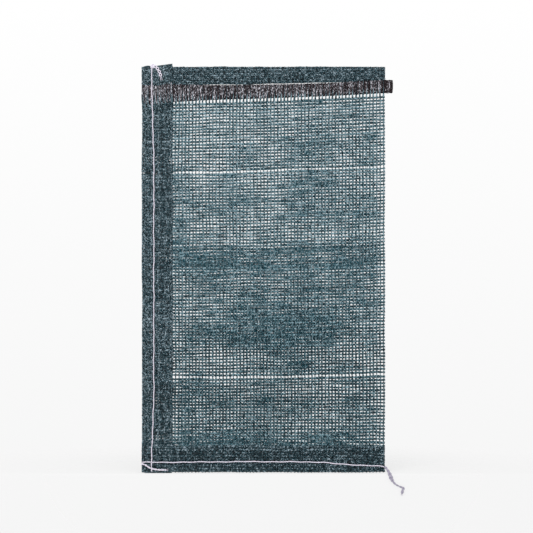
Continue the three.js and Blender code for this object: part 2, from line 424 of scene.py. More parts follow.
class Strands:
    """Gathers closed strips, each a run of small polygons joined by side faces, into one mesh."""

    def __init__(self):
        self.points = []
        self.quads = []
        self.caps = {}
        self.tone = []
        self.strand = []
        self.count = 0

    def add(self, sections, tone, step=3.0):
        """sections: (strips, stations, corners, 3), corners going round anticlockwise."""
        strips, stations, corners, _ = sections.shape
        index = np.arange(strips * stations * corners).reshape(strips, stations, corners) + self.count
        here, ahead = index[:, :-1], index[:, 1:]
        quads = np.stack([here, np.roll(here, -1, 2), np.roll(ahead, -1, 2), ahead], -1)
        self.quads.append(quads.reshape(-1, 4))
        ends = np.concatenate([index[:, 0, ::-1], index[:, -1]])
        self.caps.setdefault(corners, []).append(ends)
        self.points.append(sections.reshape(-1, 3))
        self.tone.append(np.broadcast_to(tone[..., None], index.shape).ravel())
        along = np.arange(stations)[None, :, None] * step
        across = np.arange(corners)
        which = RNG.uniform(0, 500, strips)[:, None, None]
        strand = np.stack(np.broadcast_arrays(along, across, which), -1)
        self.strand.append(strand.reshape(-1, 3))
        self.count += index.size

    def build(self, name, material):
        """One object of all the strips, with the attributes that its material reads."""
        points = np.concatenate(self.points)
        faces = [np.concatenate(group) for group in (self.quads, *self.caps.values())]
        corners = np.concatenate([group.ravel() for group in faces])
        sizes = np.concatenate([np.full(len(group), group.shape[1]) for group in faces])
        mesh = bpy.data.meshes.new(name)
        mesh.vertices.add(len(points))
        fill(mesh.vertices, "co", points * MM)
        mesh.loops.add(len(corners))
        fill(mesh.loops, "vertex_index", corners, np.int32)
        mesh.polygons.add(len(sizes))
        fill(mesh.polygons, "loop_start", np.cumsum(sizes) - sizes, np.int32)
        fill(mesh.polygons, "loop_total", sizes, np.int32)
        mesh.update(calc_edges=True)
        mesh.validate()
        tones = mesh.attributes.new("tone", "FLOAT", "POINT").data
        fill(tones, "value", np.concatenate(self.tone))
        strands = mesh.attributes.new("strand", "FLOAT_VECTOR", "POINT").data
        fill(strands, "vector", np.concatenate(self.strand))
        plan_uv(mesh, points)
        mesh.materials.append(material)
        fill(mesh.polygons, "use_smooth", np.ones(len(mesh.polygons)), bool)
        return in_scene(name, mesh)


# ---- Weaving ----

WEFT_HALF = 1.62  # half width of a weft tape between warps
WEFT_PINCH = 1.38  # and where a pair of warps grips it
PINCH_REACH = 0.16  # of a pitch
DENSE_WIDER = 1.3
WARP_HALF = 0.86
WARP_ON_TAPE = 0.26  # it is drawn thin where it passes the drawstring
WARP_AT_MARKER = 0.55  # of its width, across a missing weft
WARP_BELOW_TAPE = (1.5, 1.2)  # of its width, coming up to the drawstring and at its lower edge
WARP_SWING = 0.6  # how far each of a pair swings to either side
WARP_FLOAT = 0.34  # how far a warp stands off the sheet where it passes a weft
WARP_CROSS = 0.17  # and where the pair cross each other
WARP_RIDGE = 0.22  # height of the ridge along its outer face
TAPE_FLOAT = 1.0  # and where it passes the drawstring
LINING = 0.9  # how far inside its outer layer the mouth's second layer lies
THICK = 0.16  # half the thickness of a weft tape
CROWDED = 1.35  # tapes in the turned-over margins are bunched up and look wider
WEFT_WIDTH_LIMITS = (0.6, 1.45)
WARP_WIDTH_LIMITS = (0.6, 1.5)
WEFT_WIDTH_VARIES = (0.13, 0.09)  # along each tape, and from tape to tape
WARP_WIDTH_VARIES = 0.16
WEFT_LIFT_VARIES = 0.06
WEFT_TILT_VARIES = 0.42
WARP_TILT_VARIES = 0.3
RAGGED_SIDE = (-0.7, 0.9)
RAGGED_MOUTH = (-0.5, 0.2)
RAGGED_BOTTOM = (-1.0, 1.2)

WEFT_SHADE = -0.3  # tone of the wefts
WARP_SHADE = 1.0  # and of the warps
BAND_PAINTED_SHADE = -0.6  # painted shade on the close band at the mouth, and on the warps over the drawstring
HEM_PAINTED_SHADE = -1.6  # painted shade: the many layers of the bottom hem let no light through
PALE_ABOVE = 1.2  # the single mesh is paler towards the mouth
SHADE_VARIES = 1.8  # how much the tone varies along a tape
STRAND_SHADE = 0.7  # how much it varies from tape to tape

WEFT_PHASE = RNG.uniform(0, 2 * math.pi, (len(ROWS), 3))
WARP_PHASE = RNG.uniform(0, 2 * math.pi, (WARPS, 3))
WANDER_LENGTHS = np.array([37.0, 83.0, 171.0])
WANDER_SIZES = np.array([0.22, 0.26, 0.22])
ROW_TONE = RNG.normal(0, 1, len(ROWS))
WARP_TONE = RNG.normal(0, 1, WARPS)


def wandering(phase, along):
    """Small sideways wander of each strip: (strips, stations)."""
    waves = np.sin(2 * math.pi * along[None, :, None] / WANDER_LENGTHS + phase[:, None, :])
    return waves @ WANDER_SIZES


def between(values, low, high):
    return values[(values > low) & (values < high)]


def stations(marks, low, high, creases, spread):
    """Places along a strip: its ends, each mark, halfway between marks, and round each crease."""
    middles = 0.5 * (marks[1:] + marks[:-1])
    extra = np.concatenate([[c + k * spread for k in (-2, -1, 0, 1, 2)] for c in creases])
    clear = np.concatenate([marks, middles])
    for crease in creases:
        clear = clear[np.abs(clear - crease) > 2.3 * spread]
    found = np.concatenate([[low, high], between(clear, low, high), between(extra, low, high)])
    return np.unique(np.round(found, 4))


def shade_at(v):
    """Extra tone at a height of the sheet: paler towards the mouth, painted shade in the bottom hem and
    the close band.
    """
    pale = PALE_ABOVE * rising(v, 170, 330) * (v < OPEN_TOP + 8)
    return pale + HEM_PAINTED_SHADE * (v < HEM) + BAND_PAINTED_SHADE * (v > OPEN_TOP)


def weave_wefts(strands, s_low, s_high, v_low, v_high, inset=0.0, shift=0.0):
    """The wefts of one patch of the sheet. inset moves them inwards and shift up."""
    rows = np.nonzero((ROWS >= v_low) & (ROWS < v_high))[0]
    s = stations(WARP_S, s_low, s_high, (S_INNER, S_RIGHT, S_OUTER), 0.9)
    grip = np.exp(-((np.abs((s / WARP_PITCH) % 1 - 0.5) / PINCH_REACH) ** 2))
    half = WEFT_HALF - (WEFT_HALF - WEFT_PINCH) * grip
    by_place, by_row = WEFT_WIDTH_VARIES
    varied = RNG.normal(0, by_place, (len(rows), len(s))) + RNG.normal(0, by_row, (len(rows), 1))
    width = half[None, :] * np.clip(1 + varied, *WEFT_WIDTH_LIMITS)
    width = np.where((ROWS[rows] >= DENSE_LOW)[:, None], width * DENSE_WIDER, width)
    turned = (s < S_INNER) | (s > S_OUTER) | (ROWS[rows] < 0)[:, None]
    width = np.where(turned, width * CROWDED, width)
    ragged = np.broadcast_to(s, (len(rows), len(s))).copy()
    if s_low <= 0:
        ragged[:, 0] -= RNG.uniform(*RAGGED_SIDE, len(rows))
    if s_high >= S_END:
        ragged[:, -1] += RNG.uniform(*RAGGED_SIDE, len(rows))
    v = ROWS[rows][:, None] + wandering(WEFT_PHASE[rows], s) + shift
    lift = RNG.normal(0, WEFT_LIFT_VARIES, v.shape)[..., None] - inset
    tilt = RNG.normal(0, WEFT_TILT_VARIES, v.shape)[..., None]
    normal = outward(ragged, v)
    middle = place(ragged, v) + normal * lift
    upper = place(ragged, v + width) + normal * (lift + tilt)
    lower = place(ragged, v - width) + normal * (lift - tilt)
    sections = np.stack([lower, middle + normal * THICK, upper, middle - normal * THICK], 2)
    tone = WEFT_SHADE + STRAND_SHADE * ROW_TONE[rows][:, None] + RNG.normal(0, SHADE_VARIES, v.shape)
    tone += shade_at(ROWS[rows])[:, None] * ~turned
    strands.add(sections[:, :, ::-1], tone)


def weave_warps(strands, s_low, s_high, v_low, v_high, inset=0.0, shift=0.0):
    """The pairs of twisted warps of one patch. inset moves them inwards and shift along s."""
    columns = np.nonzero((WARP_S >= s_low) & (WARP_S < s_high))[0]
    v = stations(ROWS, v_low, v_high, (0.0,), 0.8)
    beside_tape = TAPE_MID + np.array([-TAPE_HALF - 3.5, -TAPE_HALF, TAPE_HALF - 1])
    v = np.unique(np.concatenate([v, between(beside_tape, v_low, v_high)]))
    nearest = np.abs(v[:, None] - ROWS[None, :])
    row = nearest.argmin(1)
    on_row = nearest.min(1) < 0.05
    on_tape = np.abs(v - TAPE_MID) < TAPE_HALF + 3.6
    missing = nearest.min(1) > 0.6 * ROW_PITCH
    side = np.where(on_row, np.where(row % 2 == 0, 1.0, -1.0), 0.0)
    base = WARP_S[columns][:, None] + wandering(WARP_PHASE[columns], v) + shift
    in_margin = (base < S_INNER) | (base > S_OUTER)
    turned = (in_margin | (v < 0)) & ~on_tape
    ends = np.broadcast_to(v, base.shape).copy()
    if v_high >= TOP:
        ends[:, -1] += RNG.uniform(*RAGGED_MOUTH, len(columns))
    if v_low <= -HEM:
        ends[:, 0] -= RNG.uniform(*RAGGED_BOTTOM, len(columns))
    for over in (1.0, -1.0):
        passing = np.where(on_row, WARP_FLOAT * over, -WARP_CROSS * over)
        passing = np.where(on_tape, TAPE_FLOAT * over, passing) - inset
        varied = 1 + RNG.normal(0, WARP_WIDTH_VARIES, base.shape)
        half = WARP_HALF * np.clip(varied, *WARP_WIDTH_LIMITS)
        half = np.where(turned, half * CROWDED, half)
        half = np.where(missing, half * WARP_AT_MARKER, half)
        half = np.where(on_tape, WARP_ON_TAPE, half)
        for height, share in zip(beside_tape, WARP_BELOW_TAPE):
            half = np.where(v == height, share * WARP_HALF, half)
        slant = RNG.normal(0, WARP_TILT_VARIES, base.shape)[..., None]
        s = base + over * side * WARP_SWING
        normal = outward(s, ends)
        middle = place(s, ends) + normal * passing[None, :, None]
        ridge = middle + normal * (WARP_RIDGE * over)
        first = place(s - half, ends) + normal * (passing[None, :, None] + slant)
        second = place(s + half, ends) + normal * (passing[None, :, None] - slant)
        order = [first, second, ridge] if over > 0 else [second, first, ridge]
        tone = WARP_SHADE + STRAND_SHADE * WARP_TONE[columns][:, None]
        tone = tone + RNG.normal(0, SHADE_VARIES, base.shape) + shade_at(v) * ~in_margin
        strands.add(np.stack(order, 2), tone)


# ---- Materials ----


class Graph:
    """A node tree, with short ways to add to it."""

    def __init__(self, tree):
        self.nodes = tree.nodes
        self.links = tree.links

    def feed(self, node, inputs):
        """Sets a node's inputs, each to a value or to another node's output."""
        for key, value in inputs.items():
            if isinstance(value, bpy.types.NodeSocket):
                self.links.new(value, node.inputs[key])
            else:
                node.inputs[key].default_value = value

    def add(self, kind, inputs, **settings):
        """A new node."""
        node = self.nodes.new(kind)
        for key, value in settings.items():
            setattr(node, key, value)
        self.feed(node, inputs)
        return node

    def calc(self, operation, *values):
        """The result of a Math node."""
        return self.add("ShaderNodeMath", dict(enumerate(values)), operation=operation).outputs[0]

    def scaled(self, vector, scale):
        inputs = {0: vector, 1: scale}
        return self.add("ShaderNodeVectorMath", inputs, operation="MULTIPLY").outputs[0]

    def split(self, vector):
        """The three parts of a vector."""
        return self.add("ShaderNodeSeparateXYZ", {0: vector}).outputs

    def attribute(self, name):
        """The outputs of a mesh attribute."""
        return self.add("ShaderNodeAttribute", {}, attribute_name=name).outputs

    def noise(self, scale, detail):
        """Noise that runs with each strand, so many waves to a millimetre along and across it."""
        placed = self.scaled(self.attribute("strand")["Vector"], scale)
        inputs = {"Vector": placed, "Scale": 1.0, "Detail": detail}
        return self.add("ShaderNodeTexNoise", inputs).outputs["Fac"]

    def smoothstep(self, value, low, high):
        """0 below low, 1 above high and smooth between."""
        inputs = {"Value": value, "From Min": low, "From Max": high}
        return self.add("ShaderNodeMapRange", inputs, interpolation_type="SMOOTHSTEP").outputs["Result"]

    def map_to(self, value, low, high):
        """A value from 0 to 1, made to run from low to high."""
        inputs = {"Value": value, "To Min": low, "To Max": high}
        return self.add("ShaderNodeMapRange", inputs).outputs["Result"]

    def ramp(self, value, *stops):
        """The colour at a value, from stops given as (position, colour)."""
        node = self.add("ShaderNodeValToRGB", {"Fac": value})
        elements = node.color_ramp.elements
        while len(elements) < len(stops):
            elements.new(0.5)
        for element, (position, colour) in zip(elements, stops):
            element.position = position
            element.color = (*colour, 1)
        return node.outputs["Color"]

    def bump(self, height, strength, distance):
        inputs = {"Height": height, "Strength": strength, "Distance": distance}
        return self.add("ShaderNodeBump", inputs).outputs["Normal"]

    def mix(self, share, first, second):
        """Two shaders mixed."""
        return self.add("ShaderNodeMixShader", {0: share, 1: first, 2: second}).outputs[0]


def new_material(name):
    """A new material: (material, its graph, its principled shader)."""
    material = bpy.data.materials.new(name)
    material.use_nodes = True
    graph = Graph(material.node_tree)
    return material, graph, graph.nodes["Principled BSDF"]


TONE_STEP = 0.035  # how far one unit of tone moves along a colour ramp
THROUGH = (0.14, 0.405, 0.475)  # colour of the light that comes through the mesh's tape


def tape_material(name, dark, base, light, painted_glint):
    """Stretched plastic tape: split fibres along it, a tone of its own, a soft shine, painted glints
    in its colour, and some light coming through from behind."""
    material, graph, shader = new_material(name)
    fibres = graph.noise((0.52, 1.0, 1.0), 3.0)
    shade = graph.calc("MULTIPLY_ADD", graph.attribute("tone")["Fac"], TONE_STEP, fibres)
    # the top stop is a painted highlight: bright glints of the tape's shine, put into its colour
    colour = graph.ramp(shade, (0.42, dark), (0.50, base), (0.56, light), (0.63, painted_glint))
    look = {
        "Base Color": colour,
        "Roughness": graph.map_to(fibres, 0.28, 0.62),
        "Normal": graph.bump(fibres, 0.35, 0.0003),
        "Specular IOR Level": 0.55,
    }
    graph.feed(shader, look)
    glow = graph.add("ShaderNodeBsdfTranslucent", {"Color": (*THROUGH, 1)}).outputs[0]
    mixed = graph.mix(0.5, shader.outputs[0], glow)
    graph.feed(graph.nodes["Material Output"], {"Surface": mixed})
    return material


def drawstring_material():
    """Dark flat tape: brown and grey fibres, with ribs of painted shade across it where the weave grips
    it, and painted glints.
    """
    material, graph, shader = new_material("drawstring_tape")
    grain = graph.calc("MULTIPLY", graph.noise((0.78, 0.95, 1.0), 3.0), 0.9)
    # painted shade: darker ribs across the tape where the weave grips it
    painted_rib_shade = graph.calc("MULTIPLY_ADD", graph.noise((0.30, 0.05, 1.0), 2.0), 0.38, grain)
    shade = graph.calc("MULTIPLY_ADD", graph.attribute("tone")["Fac"], TONE_STEP, painted_rib_shade)
    colour = graph.ramp(
        shade,
        (0.58, (0.006, 0.003, 0.004)),
        (0.655, (0.031, 0.023, 0.027)),
        (0.72, (0.115, 0.107, 0.117)),
        # the top stop is a painted highlight: pale glints in the tape's colour
        (0.80, (0.52, 0.52, 0.57)),
    )
    look = {
        "Base Color": colour,
        "Roughness": 0.7,
        "Normal": graph.bump(graph.noise((2.2, 2.2, 2.2), 3.0), 0.6, 0.0006),
        "Specular IOR Level": 0.12,
    }
    graph.feed(shader, look)
    return material


def thread_material():
    """Pale spun sewing thread."""
    material, graph, shader = new_material("sewing_thread")
    fuzz = graph.noise((1.6, 1.6, 1.6), 4.0)
    shade = graph.calc("MULTIPLY_ADD", graph.attribute("tone")["Fac"], 0.1, fuzz)
    colour = graph.ramp(
        shade,
        (0.10, (0.20, 0.185, 0.245)),
        (0.34, (0.42, 0.39, 0.48)),
        (0.60, (0.74, 0.70, 0.78)),
    )
    look = {
        "Base Color": colour,
        "Roughness": 0.85,
        "Normal": graph.bump(fuzz, 0.5, 0.0003),
        "Sheen Weight": 0.3,
    }
    graph.feed(shader, look)
    return material


MATERIALS = {
    "mesh_tape": tape_material(
        "mesh_tape",
        dark=(0.002, 0.013, 0.020),
        base=(0.011, 0.047, 0.063),
        light=(0.085, 0.235, 0.280),
        painted_glint=(0.45, 0.62, 0.69),
    ),
    # a darker copy of the mesh tape, for the close band, the hems and the turned-over margins: painted
    # shade where the layers lie stacked
    "dense_tape": tape_material(
        "dense_tape",
        dark=(0.001, 0.009, 0.014),
        base=(0.008, 0.041, 0.056),
        light=(0.068, 0.158, 0.192),
        painted_glint=(0.46, 0.57, 0.64),
    ),
    "cord": drawstring_material(),
    "thread": thread_material(),
}


def attach(strands, name, slot, bodies, replaced, blend_from=None):
    """Makes a piece, puts it in place of its CAD nodes, and has it ride on its body, or stay where it
    was made when it lies between two bodies. blend_from is not used."""
    obj = strands.build(name, MATERIALS[slot])
    if len(bodies) == 2:
        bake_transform(obj)
    else:
        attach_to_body(obj, *bodies)
    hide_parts(*replaced)
    pieces[name] = obj


# ---- The mesh, piece by piece ----


def gap_near(value, marks):
    """The place halfway between two marks nearest to value, so that a cut falls between them."""
    middles = 0.5 * (marks[1:] + marks[:-1])
    return float(middles[np.abs(middles - value).argmin()])


MOUTH_CUT = gap_near(MOUTH - 8, ROWS)
HEM_CUT = gap_near(HEM, ROWS)
LEFT_CUT = gap_near(S_INNER + SIDE_TURN, WARP_S)
FRONT_MID = gap_near(0.5 * (S_INNER + S_RIGHT), WARP_S)
FOLD_CUT = gap_near(S_RIGHT - (RIGHT - PANEL_RIGHT), WARP_S)
FOLD_CUT_BACK = 2 * S_RIGHT - FOLD_CUT
BACK_MID = 2 * S_RIGHT - FRONT_MID
LEFT_CUT_BACK = 2 * S_RIGHT - LEFT_CUT
BOTTOM_END = -HEM - 0.6  # just past the raw edge


def fabric(name, slot, bodies, replaced, *areas, blend_from=None):
    """A piece of mesh, from areas of the sheet given as (s_low, s_high, v_low, v_high)."""
    strands = Strands()
    for area in areas:
        weave_wefts(strands, *area)
        weave_warps(strands, *area)
        s_low, s_high, _, v_high = area
        if v_high >= TOP:
            lined = s_low, s_high, DENSE_LOW + 1, v_high
            weave_wefts(strands, *lined, inset=LINING, shift=-0.5 * DENSE_PITCH)
            weave_warps(strands, *lined, inset=LINING, shift=0.5 * WARP_PITCH)
    attach(strands, name, slot, bodies, replaced, blend_from)


for side, under, outer, middle, inner in (
    ("front", S_INNER, LEFT_CUT, FRONT_MID, FOLD_CUT),
    ("back", S_OUTER, LEFT_CUT_BACK, BACK_MID, FOLD_CUT_BACK),
):
    for half, mesh_edge, hem_edge, blend_from in (
        ("left", under, outer, TURN_X),
        ("right", inner, inner, PANEL_RIGHT),
    ):
        for part, edge, v_low, v_high, slot, node in (
            ("mesh", mesh_edge, HEM_CUT, MOUTH_CUT, "mesh_tape", "mesh_panel"),
            ("hem", hem_edge, MOUTH_CUT, TOP, "dense_tape", "top_hem"),
        ):
            fabric(
                f"{side}_{part}_{half}",
                slot,
                ("bag_base", f"{side}_mouth"),
                (f"{side}_{node}",),
                (min(edge, middle), max(edge, middle), v_low, v_high),
                blend_from=blend_from,
            )

fabric(
    "side_turnover_mesh",
    "dense_tape",
    ("bag_base",),
    ("side_inner_turnover", "side_outer_turnover"),
    (0, S_INNER, HEM_CUT, MOUTH_CUT),
    (S_OUTER, S_END, HEM_CUT, MOUTH_CUT),
)
fabric(
    "mouth_corner_mesh",
    "dense_tape",
    ("mouth_left",),
    ("mouth_inner_turnover", "mouth_outer_turnover"),
    (0, LEFT_CUT, MOUTH_CUT, TOP),
    (LEFT_CUT_BACK, S_END, MOUTH_CUT, TOP),
)
fabric(
    "right_fold_mesh",
    "mesh_tape",
    ("bag_base",),
    ("right_fold_edge",),
    (FOLD_CUT, FOLD_CUT_BACK, HEM_CUT, MOUTH_CUT),
)
fabric(
    "right_fold_top_mesh",
    "dense_tape",
    ("mouth_right",),
    ("right_fold_top",),
    (FOLD_CUT, FOLD_CUT_BACK, MOUTH_CUT, TOP),
)
fabric(
    "bottom_hem_mesh",
    "dense_tape",
    ("bag_base",),
    ("bottom_inner_turnover", "bottom_outer_turnover"),
    (0, S_END, BOTTOM_END, HEM_CUT),
)

# ---- Drawstring ----

BAND_HALF = TAPE_HALF - 1
BAND_POINTS = 9  # across each face
BAND_THICK = 0.34  # half its thickness
BAND_CRUMPLES = 0.6
EDGE_VARIES = 0.18
LOOP_S = 7.0  # the drawstring leaves the weave this far before the fold
LOOP_LENGTH = LOOP_TIP - (RIGHT - LOOP_S)
LOOP_BULGE = 1.32  # its two sides spread this far each way
LOOP_NARROWS = 0.26  # share of its width lost where it turns round
LOOP_NARROW_REACH = 2.6
RUN_STATIONS = 301
END_STATIONS = 80
LOOP_STATIONS = 70
END_TONE = 0.6
# painted shade: the pull loop is drawn darker than the rest of the drawstring
LOOP_PAINTED_SHADE = -0.9


def loop_path(s, v):
    """The drawstring's way out of the weave, round the end of the pull loop and back in."""
    start = place(np.full_like(s, S_RIGHT - LOOP_S), v)
    finish = place(np.full_like(s, S_RIGHT + LOOP_S), v)
    t = np.clip((s - (S_RIGHT - LOOP_LENGTH)) / (2 * LOOP_LENGTH), 0, 1)
    out = 2 * np.minimum(t, 1 - t)
    half = 0.5 * (finish[..., 1] - start[..., 1])
    bulge = LOOP_BULGE * np.sin(out * math.pi)
    x = start[..., 0] + LOOP_LENGTH * np.sin(np.minimum(out * 1.02, 1) * math.pi / 2) ** 0.9
    y = 0.5 * (start[..., 1] + finish[..., 1]) + np.sin((t - 0.5) * math.pi) * (half + bulge)
    z = start[..., 2] + (finish[..., 2] - start[..., 2]) * t
    return np.stack([x, y, z], -1)


def flat_tape(name, s, tone, body, node, path=place):
    """A length of the drawstring lying in the weave, crumpled a little, as a closed band."""
    across = np.linspace(-1, 1, BAND_POINTS)
    turns = 2 * math.pi * s
    # Wrinkles 5.1 mm apart, drifting closer and wider, on others 11.7 mm apart.
    ridge = 0.34 * np.sin(turns / 5.1 + 3 * np.sin(s / 17)) + 0.25 * np.sin(turns / 11.7)
    scallop = 0.5 * np.sin(turns / WARP_PITCH) + RNG.normal(0, EDGE_VARIES, len(s))
    rounded = 1 - LOOP_NARROWS * np.exp(-(((s - S_RIGHT) / LOOP_NARROW_REACH) ** 2))
    grid_s = np.repeat(s[:, None], len(across), 1)
    grid_v = TAPE_MID + across[None, :] * ((BAND_HALF + scallop) * rounded)[:, None]
    into_panel = np.minimum(s - S_INNER, S_OUTER - s)[:, None]
    from_fold = np.abs(s - S_RIGHT)[:, None]
    grid_v -= TAPE_SAGS * np.maximum(-across, 0) * falling(into_panel, 150, 150)
    shrinks = rising(into_panel, 40, 120) * rising(from_fold, 20, 80)
    grid_v -= TAPE_SHRINKS * np.maximum(across, 0) * shrinks
    where = path(grid_s, grid_v)
    normal = outward(grid_s, grid_v, path)
    taper = 1 - 0.75 * np.abs(across) ** 3
    shift = (ridge[:, None] * taper[None, :] * BAND_CRUMPLES)[..., None]
    thick = (BAND_THICK * taper)[None, :, None]
    face = where + normal * (shift + thick)
    rear = where + normal * (shift - thick)
    ring = np.concatenate([face, rear[:, ::-1]], 1)[None]
    strands = Strands()
    strands.add(ring[:, :, ::-1], np.full((1, len(s)), tone), step=float(np.mean(np.diff(s))))
    attach(strands, name, "cord", (body,), (node,))


for name, first, last, count, tone, body, node in (
    ("front", LEFT_CUT, S_RIGHT - LOOP_S, RUN_STATIONS, 0.0, "front_run", "front_run"),
    ("back", S_RIGHT + LOOP_S, LEFT_CUT_BACK, RUN_STATIONS, 0.0, "back_run", "back_run"),
    ("inner_end", 0.5, LEFT_CUT, END_STATIONS, END_TONE, "mouth_left", "inner_sewn_end"),
    ("outer_end", LEFT_CUT_BACK, S_END - 0.5, END_STATIONS, END_TONE, "mouth_left", "outer_sewn_end"),
):
    flat_tape(f"drawstring_{name}", np.linspace(first, last, count), tone, body, f"drawstring_{node}")
flat_tape(
    "drawstring_pull_loop",
    np.linspace(S_RIGHT - LOOP_LENGTH, S_RIGHT + LOOP_LENGTH, LOOP_STATIONS),
    LOOP_PAINTED_SHADE,
    "pull_loop",
    "drawstring_loop",
    loop_path,
)

# ---- Sewing thread ----


def sideways(points):
    """Two directions square to a path at each of its points."""
    tangent = unit(np.gradient(points, axis=0))
    up = np.where(np.abs(tangent[:, 1:2]) > 0.9, [[1.0, 0, 0]], [[0, 1.0, 0]])
    side = unit(np.cross(tangent, up))
    return side, np.cross(side, tangent)


def lengths_along(points):
    """Length of the path up to each of its points."""
    return np.concatenate([[0], np.cumsum(np.linalg.norm(np.diff(points, axis=0), axis=1))])


def curve_through(knots, step):
    """Points every step millimetres along a smooth curve through the knots."""
    knots = np.asarray(knots, float)
    padded = np.vstack([2 * knots[0] - knots[1], knots, 2 * knots[-1] - knots[-2]])
    found = []
    for i in range(1, len(padded) - 2):
        a, b, c, d = padded[i - 1 : i + 3]
        count = max(2, int(np.linalg.norm(c - b) / step))
        t = np.arange(count)[:, None] / count
        square = (2 * a - 5 * b + 4 * c - d) * t**2
        cube = (3 * b - a - 3 * c + d) * t**3
        found.append(0.5 * (2 * b + (c - a) * t + square + cube))
    found.append(padded[-2][None])
    return np.vstack(found)


def yarn(strands, points, radius, sides=6, tone=0.0):
    """A round yarn along points, as a closed tube. radius is one value or one for each point."""
    radius = np.broadcast_to(radius, (len(points),))[:, None, None]
    side, lift = sideways(points)
    angle = (np.arange(sides) * 2 * math.pi / sides)[None, :, None]
    around = side[:, None] * (np.cos(angle) * radius) + lift[:, None] * (np.sin(angle) * radius)
    ring = points[:, None] + around
    step = float(np.mean(np.linalg.norm(np.diff(points, axis=0), axis=1)))
    strands.add(ring[None], np.full((1, len(points)), tone), step=step)


def chain(path, link, opens, crosses):
    """The two sides of a chain of loops along a path."""
    turns = math.pi * lengths_along(path) / link
    side, lift = sideways(path)
    apart = side * (opens * np.abs(np.sin(turns)))[:, None]
    over = lift * (crosses * np.cos(turns))[:, None]
    return [path + way * apart + way * over for way in (-1, 1)]


STITCH = 8.6  # length of one chain stitch
STITCH_DIPS = 0.9  # how far the needle thread goes into the cloth
THREAD_R = 1.05  # of the thread in front, with all its plies
THREAD_PITCH = 3.4  # length of one turn of the plies
THREAD_OFF = 1.5  # from the cloth to the middle of the thread
PLIES = 3
CHAIN_R = 0.62  # of the thread behind
CHAIN_OPENS = 1.15  # half the width of a link
CHAIN_CROSSES = 0.35  # how far a link's sides pass over each other


def stitch_swell(lengths):
    """A needle thread is pinched where it goes through the cloth."""
    phase = np.abs((lengths / STITCH) % 1 - 0.5) * 2
    return 0.62 + 0.38 * np.clip((1 - phase) * 4, 0, 1) ** 0.6


def on_cloth(knots, depth):
    """A path through (x, z) knots, at the depth that a function of x and z gives."""
    path = curve_through([(x, 0, z) for x, z in knots], 1.1)
    path[:, 1] = depth(path[:, 0], path[:, 2])
    return path


def front_face(x, z):
    """Depth of the foremost layer in the seams."""
    corner = falling(x, TURN_X + 6, 12) * falling(z, HEM + 4, 8)
    layers = np.where((z < HEM) | (x < TURN_X), 2, 0) + 4 * corner
    return -half_gap(x, z) - layers * LAYER + mid_plane(x, z)


def needle(strands, knots):
    """The thread on the front: plies wound together, which dip into the cloth at each stitch."""
    path = on_cloth(knots, lambda x, z: front_face(x, z) - THREAD_OFF)
    lengths = lengths_along(path)
    side, _ = sideways(path)
    path = path + side * (0.35 * np.sin(lengths / 5.3) + 0.3 * np.sin(lengths / 13.7))[:, None]
    path[:, 1] += STITCH_DIPS * (1 - np.abs(np.sin(math.pi * lengths / STITCH)) ** 0.5)
    lengths = lengths_along(path)
    radius = THREAD_R * stitch_swell(lengths)
    side, lift = sideways(path)
    for ply in range(PLIES):
        angle = 2 * math.pi * (lengths / THREAD_PITCH + ply / PLIES)
        offset = side * np.cos(angle)[:, None] + lift * np.sin(angle)[:, None]
        yarn(strands, path + offset * (radius * 0.5)[:, None], radius * 0.62, sides=5)


def looper(strands, knots):
    """The chain on the back: each link is a loop caught by the next."""
    path = on_cloth(knots, lambda x, z: half_gap(x, z) + mid_plane(x, z) + THREAD_OFF)
    for points in chain(path, STITCH, CHAIN_OPENS, CHAIN_CROSSES):
        yarn(strands, points, CHAIN_R, sides=5)


def side_line(low, high):
    """(x, z) knots of the side seam, which bows to the right between the bag's two ends."""
    heights = np.linspace(low, high, 16)
    bow = 3.6 * rising(heights, 30, 110) * falling(heights, 720, 160) - 0.5
    return list(zip(SIDE_SEAM_X + bow, heights))


LOWER_SIDE = side_line(1.5, MOUTH - 1)
UPPER_SIDE = side_line(MOUTH - 1, TOP + 1)
BOTTOM_LINE = (
    (LEFT + 0.5, 19.0),
    (-165, 18.8),
    (-117, 19.0),
    (-30, 19.8),
    (67, 19.2),
    (108, 18.7),
    (132, 16.0),
    (162, 13.9),
    (RIGHT - 28, 12.6),
    (RIGHT - 9, 11.2),
    (RIGHT + 0.5, 8.8),
)


def thread(name, body, node, draw, *details, **options):
    """A piece of thread on its body."""
    strands = Strands()
    draw(strands, *details, **options)
    attach(strands, name, "thread", (body,), (node,))


for name, line, body in (
    ("side", LOWER_SIDE, "bag_base"),
    ("mouth", UPPER_SIDE, "mouth_left"),
    ("bottom", BOTTOM_LINE, "bag_base"),
):
    thread(f"{name}_needle", body, f"{name}_seam_needle_thread", needle, line)
    thread(f"{name}_looper", body, f"{name}_seam_looper_thread", looper, line)


LINK = 6.5  # length of one loop of a chained thread end
LINK_CROSSES = 0.4


def chained_tail(strands, knots, radius, fray, tone=0.0, thickness=None, loose=0.75, yarn_share=0.7):
    """A thread end: a few chained loops run off the cloth, with loose fibres at the tip.

    thickness gives the radius's share at each knot, loose how far the loops open, yarn_share the
    yarn's radius as a share of the chain's.
    """
    path = curve_through(knots, 0.8)
    shares = thickness or np.ones(len(knots))
    share = np.interp(np.linspace(0, 1, len(path)), np.linspace(0, 1, len(knots)), shares)
    for points in chain(path, LINK, radius * loose * share, LINK_CROSSES):
        yarn(strands, points, radius * yarn_share * share, tone=tone)
    loose_fibres(strands, path[-1], unit(path[-1] - path[-6]), fray, tone)


def loose_fibres(strands, start, way, count, tone):
    """Fine curling fibres where a thread has been cut."""
    for _ in range(count):
        drift = way + RNG.normal(0, 0.33, 3) * (1, 0.5, 1)
        reach = RNG.uniform(3.0, 6.5)
        tip = start + drift * reach + RNG.normal(0, 0.5, 3)
        fibre = curve_through([start - way * 2, start + drift * reach * 0.5, tip], 0.9)
        yarn(strands, fibre, np.linspace(0.3, 0.12, len(fibre)), sides=4, tone=tone)


KNOT_TURNS = ((0.3, 3.4), (1.5, 2.6), (2.5, 3.1), (0.9, 3.8), (2.0, 1.6))  # (tilt, size)
KNOT_THREAD_R = 0.95


